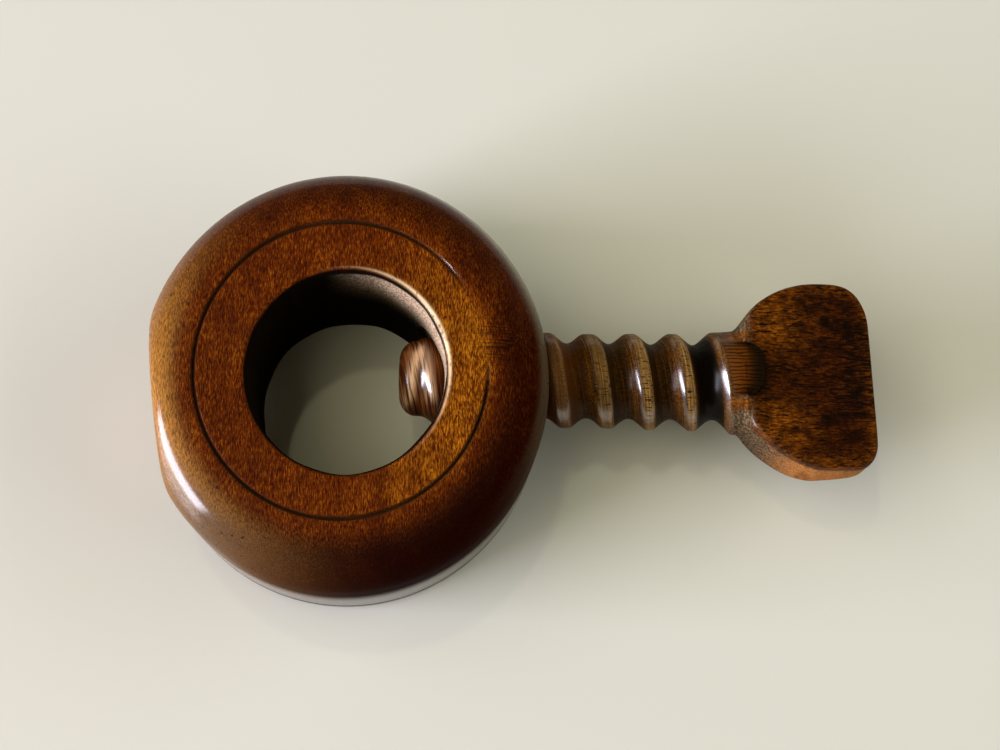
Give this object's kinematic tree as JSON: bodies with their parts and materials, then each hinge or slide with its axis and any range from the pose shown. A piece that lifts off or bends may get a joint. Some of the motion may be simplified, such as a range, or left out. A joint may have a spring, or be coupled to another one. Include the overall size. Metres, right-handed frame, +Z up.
{
  "type": "screw nutcracker",
  "caption": "Pocket nutcracker: a thick turned wooden ring holds the nut, and a coarse wooden screw with a flat thumb-piece is turned in through its wall to crack it.",
  "frame": {"origin": "middle of the bounding box of the whole nutcracker, on the flat base of the ring", "axes": "+X along the screw towards the thumb-piece, +Z up out of the nut chamber, +Y along the grain of the ring"},
  "size_m": [0.1048, 0.0612, 0.0244],
  "materials": {
    "ring_wood": "waxed and worn to a gloss",
    "screw_wood": "worn satin",
    "nose_wood": "waxed and worn to a gloss"
  },
  "bodies": {
    "ring": {"ring": "ring_wood"},
    "nose": {"screw_nose": "nose_wood"},
    "screw": {"screw": "screw_wood"}
  },
  "joints": [
    {"name": "screw_advance", "type": "slide", "parent": "ring", "child": "nose", "axis": [1, 0, 0], "range_m": [-0.0192, 0.0125]},
    {"name": "screw_turn", "type": "hinge", "parent": "nose", "child": "screw", "pos_m": [0, 0.0017, 0.012], "axis": [1, 0, 0], "range_deg": [-1110, 720]}
  ],
  "couplings": [
    {"joint": "screw_advance", "follows": "screw_turn", "m_per_rad": 0.00098676}
  ]
}
